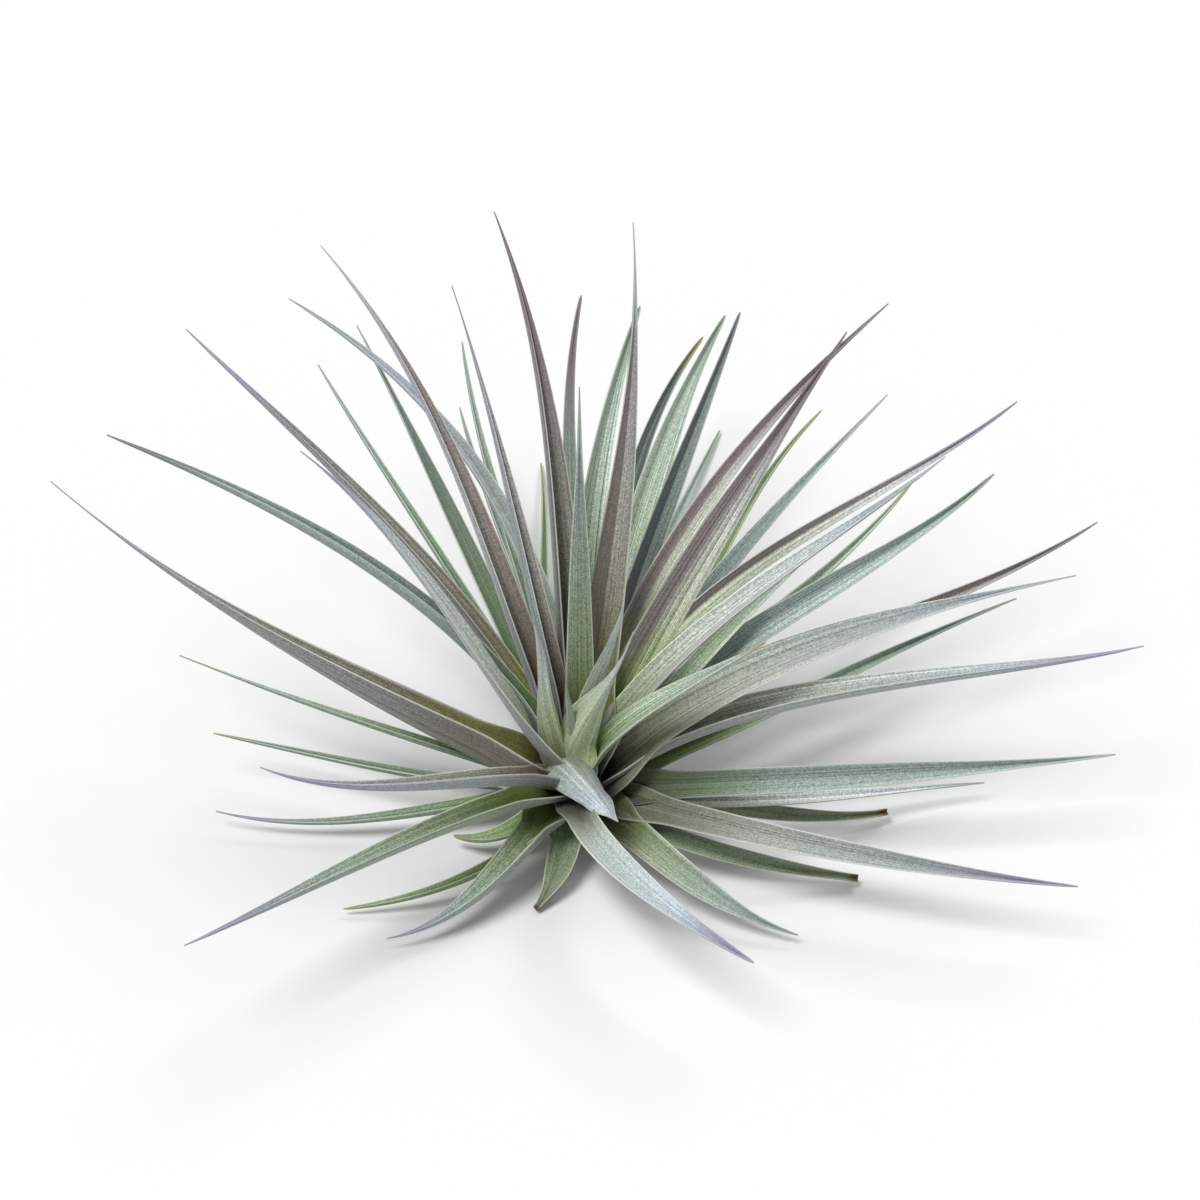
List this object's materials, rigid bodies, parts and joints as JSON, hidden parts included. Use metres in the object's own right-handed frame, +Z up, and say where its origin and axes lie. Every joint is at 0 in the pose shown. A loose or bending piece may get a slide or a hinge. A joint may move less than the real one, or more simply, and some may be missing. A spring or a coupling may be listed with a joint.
{
  "type": "air plant",
  "caption": "Air plant rosette: stiff, channelled leaves taper to fine points round a short stem and pale young heart leaves; it stands free on its stem and lowest leaf tips.",
  "frame": {"origin": "centre of the flat underside of the stem, on the surface that the plant stands on", "axes": "+Z up along the stem, +X to the right and +Y away from a viewer in front, the side to which the older leaves are fewer"},
  "size_m": [0.2272, 0.1816, 0.0983],
  "materials": {
    "leaf_bronze": "matte, olive green flushed with purple brown under fine silver scales, lavender tip",
    "leaf_silver": "matte, grey green thickly set with silver scales",
    "leaf_green": "matte, mid green with darker lengthwise lines",
    "leaf_pale": "matte, pale striped green",
    "leaf_olive": "matte, dull olive green with a straw tip",
    "leaf_blue_grey": "matte, blue grey green with pale margins",
    "leaf_old": "matte, dark green with a dry brown broken end",
    "heart": "matte, pale yellow green",
    "stem": "matte, dry brown green with rings of old leaf scars"
  },
  "bodies": {
    "root": {"stem": "stem", "heart": "heart", "leaf_01": "leaf_bronze", "leaf_02": "leaf_bronze", "leaf_03": "leaf_bronze", "leaf_04": "leaf_silver", "leaf_05": "leaf_green", "leaf_06": "leaf_bronze", "leaf_07": "leaf_blue_grey", "leaf_08": "leaf_green", "leaf_09": "leaf_bronze", "leaf_10": "leaf_green", "leaf_11": "leaf_green", "leaf_12": "leaf_bronze", "leaf_13": "leaf_blue_grey", "leaf_14": "leaf_green", "leaf_15": "leaf_olive", "leaf_16": "leaf_bronze", "leaf_17": "leaf_green", "leaf_18": "leaf_green", "leaf_19": "leaf_pale", "leaf_20": "leaf_blue_grey", "leaf_21": "leaf_green", "leaf_22": "leaf_bronze", "leaf_23": "leaf_bronze", "leaf_24": "leaf_green", "leaf_25": "leaf_blue_grey", "leaf_26": "leaf_bronze", "leaf_27": "leaf_silver", "leaf_28": "leaf_olive", "leaf_29": "leaf_olive", "leaf_30": "leaf_blue_grey", "leaf_31": "leaf_bronze", "leaf_32": "leaf_silver", "leaf_33": "leaf_green", "leaf_34": "leaf_silver", "leaf_35": "leaf_silver", "leaf_36": "leaf_olive", "leaf_37": "leaf_old", "leaf_38": "leaf_silver", "leaf_39": "leaf_old", "leaf_40": "leaf_olive", "leaf_41": "leaf_blue_grey", "leaf_42": "leaf_old", "leaf_43": "leaf_olive", "leaf_44": "leaf_green", "leaf_45": "leaf_blue_grey", "leaf_46": "leaf_green", "leaf_47": "leaf_green", "leaf_48": "leaf_blue_grey", "leaf_49": "leaf_green", "leaf_50": "leaf_green"}
  },
  "joints": []
}
